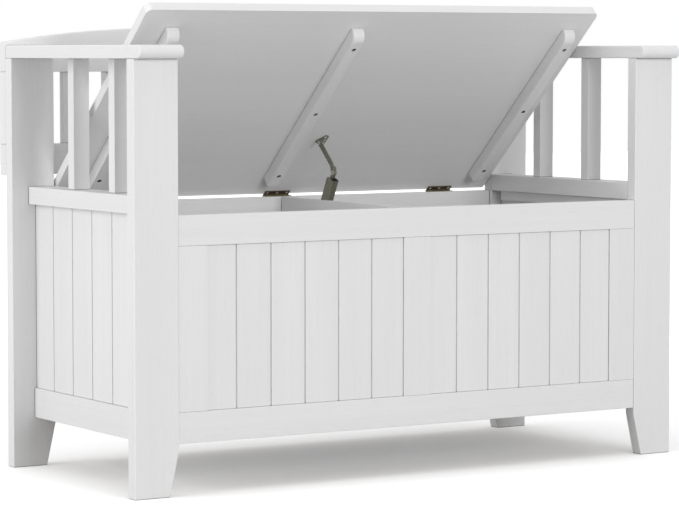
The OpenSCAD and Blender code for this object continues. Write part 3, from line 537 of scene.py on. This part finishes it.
def dress(name, material, rounding=0.0, steps=2):
    """Gives a board its finish, and rounds its edges over by that many metres."""
    board = boards[name]
    weld = board.modifiers.new("close seams", "WELD")
    weld.merge_threshold = SAME_POINT
    if rounding:
        flat = board.modifiers.new("whole faces", "DECIMATE")
        flat.decimate_type = "DISSOLVE"
        flat.angle_limit = SAME_FACE
        choice = board.modifiers.new("edges to round", "NODES")
        choice.node_group = EDGE_CHOICE
        soften = board.modifiers.new("rounded edges", "BEVEL")
        soften.width = rounding
        soften.segments = steps
        soften.limit_method = "WEIGHT"
        soften.use_clamp_overlap = False
    finish_piece(board, material)


SIDES = ("left", "right")
PLACES = ("left", "middle", "right")


def each(kind, places=SIDES):
    """The names of one kind of piece at each of its places."""
    return [kind + "_" + place_name for place_name in places]


def dress_all(names, material, rounding=0.0, steps=2):
    for name in names:
        dress(name, material, rounding * MM, steps)


def dress_ends():
    """Legs, armrests, rails, panels and slats of the two ends; edge roundings in millimetres."""
    dress_all(each("front_leg") + each("rear_leg"), PAINT["upright"], 1.3, 3)
    dress_all(each("armrest"), PAINT["deep"], 2.0, 3)
    dress_all(each("cap_rail"), PAINT["deep"], 1.3, 3)
    dress_all(each("end_rail"), PAINT["deep"], 1.2, 3)
    dress_all(each("end_panel"), PAINT["upright"], 0.6)
    dress_all(each("end_cleat"), PAINT["deep"], 1.0)
    for side in SIDES:
        dress_all(each("slat_" + side, ("front", "rear")), PAINT["upright"], 0.9)


def dress_box():
    """Front, back, divider and bottom of the box."""
    rails = each("front", ("top_rail", "bottom_rail")) + each("back", ("top_rail", "bottom_rail"))
    dress_all(rails, PAINT["wide"], 1.0)
    dress_all(each("front_stile", PLACES) + each("front_panel"), PAINT["upright"], 0.6)
    dress_all(["back_panel", "bottom_panel"], PAINT["wide"], 0.6)
    dress_all(["divider"], PAINT["deep"], 1.0)
    dress_all(["bottom_cleats"], SOFTWOOD["deep"], 1.0)


def dress_backrest():
    dress_all(["crest_rail"], PAINT["wide"], 1.6, 3)
    dress_all(["backrest_rail"], PAINT["wide"], 1.5, 3)
    dress_all(each("backrest_stile"), PAINT["upright"], 1.2, 3)
    dress_all(["backrest_slats"], PAINT["upright"], 0.9)


def dress_battens():
    dress_all(each("batten", PLACES), PAINT["up_the_lid"], 3.0, 4)


def dress_fittings():
    """Dowels, bolts, rivets, hinges and the stay."""
    dress_all(["rail_dowels", "end_dowels", "armrest_dowels"], SOFTWOOD["wide"])
    dress_all(["backrest_bolts", "stay_bracket_rivet", "stay_arm_rivets", "stay_spring"], ZINC)
    dress_all(["hinge_frame_leaves", "hinge_lid_leaves"], BRONZE, 0.25)
    dress_all(["hinge_pins"], BRONZE)
    plates = ("base_plate", "lower_arm", "upper_arm", "lid_bracket")
    dress_all(each("stay", plates), STAY_STEEL, 0.3)
    dress_all(["stay_bumper"], RUBBER, 0.4)


dress_ends()
dress_box()
dress_backrest()
dress_battens()
dress_fittings()


# The lid board

HINGE_LINE = Vector((0.0, 0.2214, 0.4293))
LID_CORNER = 10.0 * MM
LID_EDGE = 1.3 * MM
LID_EDGE_STEPS = 4
CORNER_STEPS = 12
# Two heights or depths nearer than this are the same
SAME_LEVEL = 0.001 * MM


def closed_lid(point):
    """Where a point of the open lid lies when the lid is shut, measured from the hinge line."""
    return Matrix.Rotation(LID_TILT, 3, "X") @ (point - HINGE_LINE)


def opened_lid(point):
    """The way back from the shut lid to the open lid of the row's frame."""
    return Matrix.Rotation(-LID_TILT, 3, "X") @ point + HINGE_LINE


def lid_outline(low, high):
    """The shut lid seen from above, with its two front corners rounded."""
    outline = [(high.x, high.y), (low.x, high.y)]
    for centre_x, first in ((low.x + LID_CORNER, 180), (high.x - LID_CORNER, 270)):
        for step in range(CORNER_STEPS + 1):
            turn = math.radians(first + 90 * step / CORNER_STEPS)
            outline.append((centre_x + LID_CORNER * math.cos(turn),
                            low.y + LID_CORNER + LID_CORNER * math.sin(turn)))
    return outline


def lid_piece():
    """The lid as one board with rounded front corners and softly rounded edges all round."""
    shut = [closed_lid(corner.co) for corner in boards["lid_board"].data.vertices]
    low = Vector([min(point[axis] for point in shut) for axis in range(3)])
    high = Vector([max(point[axis] for point in shut) for axis in range(3)])
    outline = lid_outline(low, high)
    form = bmesh.new()
    under = [form.verts.new((x, y, low.z)) for x, y in outline]
    over = [form.verts.new((x, y, high.z)) for x, y in outline]
    form.faces.new(under)
    form.faces.new(over)
    for here in range(len(outline)):
        there = (here + 1) % len(outline)
        form.faces.new((under[here], under[there], over[there], over[here]))
    rims = [edge for edge in form.edges
            if abs(edge.verts[0].co.z - edge.verts[1].co.z) < SAME_LEVEL]
    back_corners = [edge for edge in form.edges
                    if edge not in rims and min(v.co.y for v in edge.verts) > high.y - SAME_LEVEL]
    bmesh.ops.bevel(form, geom=rims + back_corners, offset=LID_EDGE, segments=LID_EDGE_STEPS,
                    profile=0.5, affect="EDGES", clamp_overlap=True)
    bmesh.ops.recalc_face_normals(form, faces=form.faces)
    for vertex in form.verts:
        vertex.co = opened_lid(vertex.co)
    mesh = bpy.data.meshes.new("lid_board_rounded")
    form.to_mesh(mesh)
    form.free()
    lid = bpy.data.objects.new("lid_board_rounded", mesh)
    bpy.context.scene.collection.objects.link(lid)
    finish_piece(lid, PAINT["lid"])
    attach(lid, "lid")
    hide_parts("lid_board")


lid_piece()


# Screws

HEAD_RINGS = 10
HEAD_SPOKES = 40
# How far a head rises over its rim, as a share of its radius; the hinge leaves shut on flat heads
DOMED = 0.16
FLUSH = 0.02
# The cross recess: half a slot's width, its reach, its wall, its depth, as shares of the radius,
# and how many walls long the slope at a slot's end is
SLOT_HALF = 0.17
SLOT_REACH = 0.62
SLOT_WALL = 0.10
SLOT_DEPTH = 0.5
SLOT_END_WALLS = 3.0
# The domed part of a head, the height left at its edge, the rim below it and the blunt point
DOME_SHARE = 0.98
DOME_EDGE = 1.02
RIM_DROP = 0.04
POINT_SHARE = 0.3
# Points this near a screw's top or tip belong to it
END_BAND = 0.05 * MM
UP = Vector((0.0, 0.0, 1.0))
UNDER_LID = Matrix.Rotation(-LID_TILT, 3, "X") @ -UP
OUT_OF_DIVIDER = Vector((1.0, 0.0, 0.0))


def single_screws(name):
    """The corner points of each separate screw of a node."""
    form = bmesh.new()
    form.from_mesh(boards[name].data)
    bmesh.ops.remove_doubles(form, verts=form.verts, dist=SAME_POINT)
    left = set(form.verts)
    screws = []
    while left:
        reached = [left.pop()]
        points = []
        while reached:
            vertex = reached.pop()
            points.append(vertex.co.copy())
            for edge in vertex.link_edges:
                other = edge.other_vert(vertex)
                if other in left:
                    left.discard(other)
                    reached.append(other)
        screws.append(points)
    form.free()
    return screws


def screw_sizes(points, out):
    """A screw's head middle, head radius, head height, shank radius and length."""
    top = max(point.dot(out) for point in points)
    tip = min(point.dot(out) for point in points)
    rim = [point for point in points if point.dot(out) > top - END_BAND]
    end = [point for point in points if point.dot(out) < tip + END_BAND]
    middle = sum(rim, Vector()) / len(rim)
    end_middle = sum(end, Vector()) / len(end)
    necks = [point.dot(out) for point in points
             if tip + END_BAND < point.dot(out) < top - END_BAND]
    radius = max((point - middle).length for point in rim)
    shank = max((point - end_middle).length for point in end)
    return middle, radius, top - max(necks), shank, top - tip


def recess_depth(x, y, radius):
    """How deep the cross recess is at a point of a head: two crossed slots with sloping walls."""
    half = SLOT_HALF * radius
    reach = SLOT_REACH * radius
    wall = SLOT_WALL * radius
    depth = 0.0
    for along, across in ((abs(x), abs(y)), (abs(y), abs(x))):
        from_end = (reach - along) / (SLOT_END_WALLS * wall)
        from_side = (half + wall - across) / wall
        depth = max(depth, min(from_end, from_side, 1.0))
    return SLOT_DEPTH * radius * depth


def add_screw(form, points, out, spin, dome):
    """One screw with a head of that dome, a cross recess, a shank and a blunt point."""
    middle, radius, head, shank, length = screw_sizes(points, out)
    side = out.orthogonal().normalized()
    across = out.cross(side)
    rise = dome * radius

    def at(x, y, z):
        return middle + side * x + across * y + out * z

    def ring(distance, height):
        row = []
        for spoke in range(HEAD_SPOKES):
            turn = 2 * math.pi * spoke / HEAD_SPOKES
            x = distance * math.cos(turn)
            y = distance * math.sin(turn)
            turned_x = x * math.cos(spin) - y * math.sin(spin)
            turned_y = x * math.sin(spin) + y * math.cos(spin)
            z = height - recess_depth(x, y, radius) if height > 0 else height
            row.append(form.verts.new(at(turned_x, turned_y, z)))
        return row

    crown = form.verts.new(at(0, 0, rise - recess_depth(0, 0, radius)))
    rows = []
    for step in range(1, HEAD_RINGS + 1):
        share = step / HEAD_RINGS
        rows.append(ring(share * radius * DOME_SHARE, rise * (DOME_EDGE - share * share)))
    for distance, height in ((radius, -RIM_DROP * radius), (shank, -head),
                             (shank, shank - length), (POINT_SHARE * shank, -length)):
        rows.append(ring(distance, height))
    tip = form.verts.new(at(0, 0, -length))
    for here in range(HEAD_SPOKES):
        there = (here + 1) % HEAD_SPOKES
        form.faces.new((crown, rows[0][here], rows[0][there]))
        form.faces.new((tip, rows[-1][there], rows[-1][here]))
        for inner, outer in zip(rows, rows[1:]):
            form.faces.new((inner[here], outer[here], outer[there], inner[there]))


def screw_pieces(name, body, out, material, dome=DOMED):
    """All the screws of a node, drawn with their recesses, each turned by its own chance angle."""
    form = bmesh.new()
    chance = random.Random(name)
    for points in single_screws(name):
        add_screw(form, points, out, chance.uniform(0, math.pi / 2), dome)
    mesh = bpy.data.meshes.new(name + "_recessed")
    form.to_mesh(mesh)
    form.free()
    screws = bpy.data.objects.new(name + "_recessed", mesh)
    bpy.context.scene.collection.objects.link(screws)
    finish_piece(screws, material)
    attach(screws, body)
    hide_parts(name)


screw_pieces("hinge_frame_screws", "bench", UP, ZINC, FLUSH)
screw_pieces("hinge_lid_screws", "lid", UNDER_LID, ZINC, FLUSH)
screw_pieces("stay_base_screws", "bench", OUT_OF_DIVIDER, ZINC)
screw_pieces("stay_bracket_screws", "lid", UNDER_LID, ZINC)
# Dark heads here are partly painted shade for the sunk screw holes
screw_pieces("batten_screws", "lid", UNDER_LID, DARK_STEEL_HOLE_SHADE)


# Studio

FLOOR_HALF = 12.0
# The floor's tone for light that bounces, and where it is seen
FLOOR_TONE = 0.60
FLOOR_SEEN = 0.84
# What is added where the floor is seen: near the bench, beyond it, and the least share of it kept
# under the bench, where ambient occlusion dims it as a painted shadow; with the distances at which
# these start, in metres
FLOOR_LIFT = 0.42
FLOOR_FAR = 0.9
PAINTED_SHADOW_SHARE = 0.45
PAINTED_SHADOW_REACH = 0.35
SHADOW_REACH = 1.1
WHITE_REACH = 2.4
# The surround's strength for light that falls on the bench
SKY = 0.54


def seen_directly(tree):
    """1 for what the camera, a mirror or glass sees straight, and 0 for light that bounces."""
    path = place(tree, "ShaderNodeLightPath").outputs
    seen = calc(tree, "MAXIMUM", path["Is Camera Ray"], path["Is Glossy Ray"])
    return calc(tree, "MAXIMUM", seen, path["Is Transmission Ray"])


def floor_paint():
    """A pale matt tone that reads white where it is seen and keeps the bench's soft shadow; under
    the bench ambient occlusion also dims its glow, a painted shadow.
    """
    material = bpy.data.materials.new("studio_floor")
    material.use_nodes = True
    tree = material.node_tree
    tree.nodes.clear()
    seen = seen_directly(tree)
    tone = blend_colour(tree, seen, (FLOOR_TONE,) * 3 + (1,), (FLOOR_SEEN,) * 3 + (1,))
    matt = place(tree, "ShaderNodeBsdfDiffuse", {"Color": tone})
    spot = place(tree, "ShaderNodeTexCoord").outputs["Object"]
    away = place(tree, "ShaderNodeVectorMath", {0: spot}, operation="LENGTH").outputs["Value"]
    # Painted shadow: ambient occlusion dims the floor's glow under and beside the bench
    occlusion_for_shade = place(tree, "ShaderNodeAmbientOcclusion", {"Distance": PAINTED_SHADOW_REACH}, samples=8)
    painted_floor_shadow = rescale(tree, occlusion_for_shade.outputs["AO"], 0.0, 1.0, PAINTED_SHADOW_SHARE, 1.0)
    lift = rescale(tree, away, SHADOW_REACH, WHITE_REACH, FLOOR_LIFT, FLOOR_FAR)
    lift = calc(tree, "MULTIPLY", seen, calc(tree, "MULTIPLY", lift, painted_floor_shadow))
    glow = place(tree, "ShaderNodeEmission", {"Color": (1, 1, 1, 1), "Strength": lift})
    both = place(tree, "ShaderNodeAddShader", {0: matt.outputs[0], 1: glow.outputs[0]})
    output = tree.nodes.new("ShaderNodeOutputMaterial")
    tree.links.new(both.outputs[0], output.inputs["Surface"])
    return material


def studio_floor():
    """A plain pale floor, far wider than the bench."""
    mesh = bpy.data.meshes.new("studio_floor")
    form = bmesh.new()
    bmesh.ops.create_grid(form, x_segments=2, y_segments=2, size=FLOOR_HALF)
    form.to_mesh(mesh)
    form.free()
    mesh.materials.append(floor_paint())
    floor = bpy.data.objects.new("studio_floor", mesh)
    bpy.context.scene.collection.objects.link(floor)


def studio_sky():
    """An even surround: white where it is seen, and a soft fill for the bench."""
    world = bpy.data.worlds.new("studio_sky")
    world.use_nodes = True
    tree = world.node_tree
    tree.nodes.clear()
    seen = seen_directly(tree)
    strength = place(tree, "ShaderNodeMapRange",
                     {"Value": seen, "To Min": SKY, "To Max": 1.0}).outputs["Result"]
    glow = place(tree, "ShaderNodeBackground", {"Color": (1, 1, 1, 1), "Strength": strength})
    output = tree.nodes.new("ShaderNodeOutputWorld")
    tree.links.new(glow.outputs[0], output.inputs["Surface"])
    bpy.context.scene.world = world


# Each lamp's name, place, width in metres and power in watts; all face the middle of the bench
CENTRE = (0.0, 0.0, 0.4)
LAMPS = (
    ("softbox_front", (0.3, -9.0, 2.46), 3.2, 284.0),
    ("softbox_left", (-4.4, 0.2, 1.9), 2.4, 72.0),
    ("softbox_overhead", (-0.2, -0.6, 4.4), 3.2, 30.0),
    ("softbox_low", (-4.4, -0.9, 0.6), 1.2, 13.0),
)


def softbox(name, at, size, power):
    """A broad square lamp at a place, turned to face the middle of the bench."""
    light = bpy.data.lights.new(name, "AREA")
    light.shape = "SQUARE"
    light.size = size
    light.energy = power
    lamp = bpy.data.objects.new(name, light)
    lamp.location = at
    lamp.rotation_euler = (Vector(CENTRE) - Vector(at)).to_track_quat("-Z", "Y").to_euler()
    bpy.context.scene.collection.objects.link(lamp)


CAMERA_PLACE = (-2.5784, -4.0995, 0.6718)
CAMERA_YAW = math.radians(32.074)
CAMERA_PITCH = math.radians(-3.925)
CAMERA_FOCUS_PX = 2936.3
SENSOR = 36.0


def bench_camera():
    """The view from the front left, a little above the seat, with a long lens."""
    data = bpy.data.cameras.new("bench_camera")
    data.sensor_width = SENSOR
    data.lens = CAMERA_FOCUS_PX / PICTURE_WIDTH * SENSOR
    data.clip_start = 0.1
    data.clip_end = 60.0
    camera = bpy.data.objects.new("bench_camera", data)
    camera.location = CAMERA_PLACE
    look = Vector((
        math.sin(CAMERA_YAW) * math.cos(CAMERA_PITCH),
        math.cos(CAMERA_YAW) * math.cos(CAMERA_PITCH),
        math.sin(CAMERA_PITCH),
    ))
    camera.rotation_euler = look.to_track_quat("-Z", "Y").to_euler()
    bpy.context.scene.collection.objects.link(camera)
    bpy.context.scene.camera = camera


studio_floor()
studio_sky()
for lamp_values in LAMPS:
    softbox(*lamp_values)
bench_camera()
bpy.context.scene.view_settings.view_transform = "Standard"
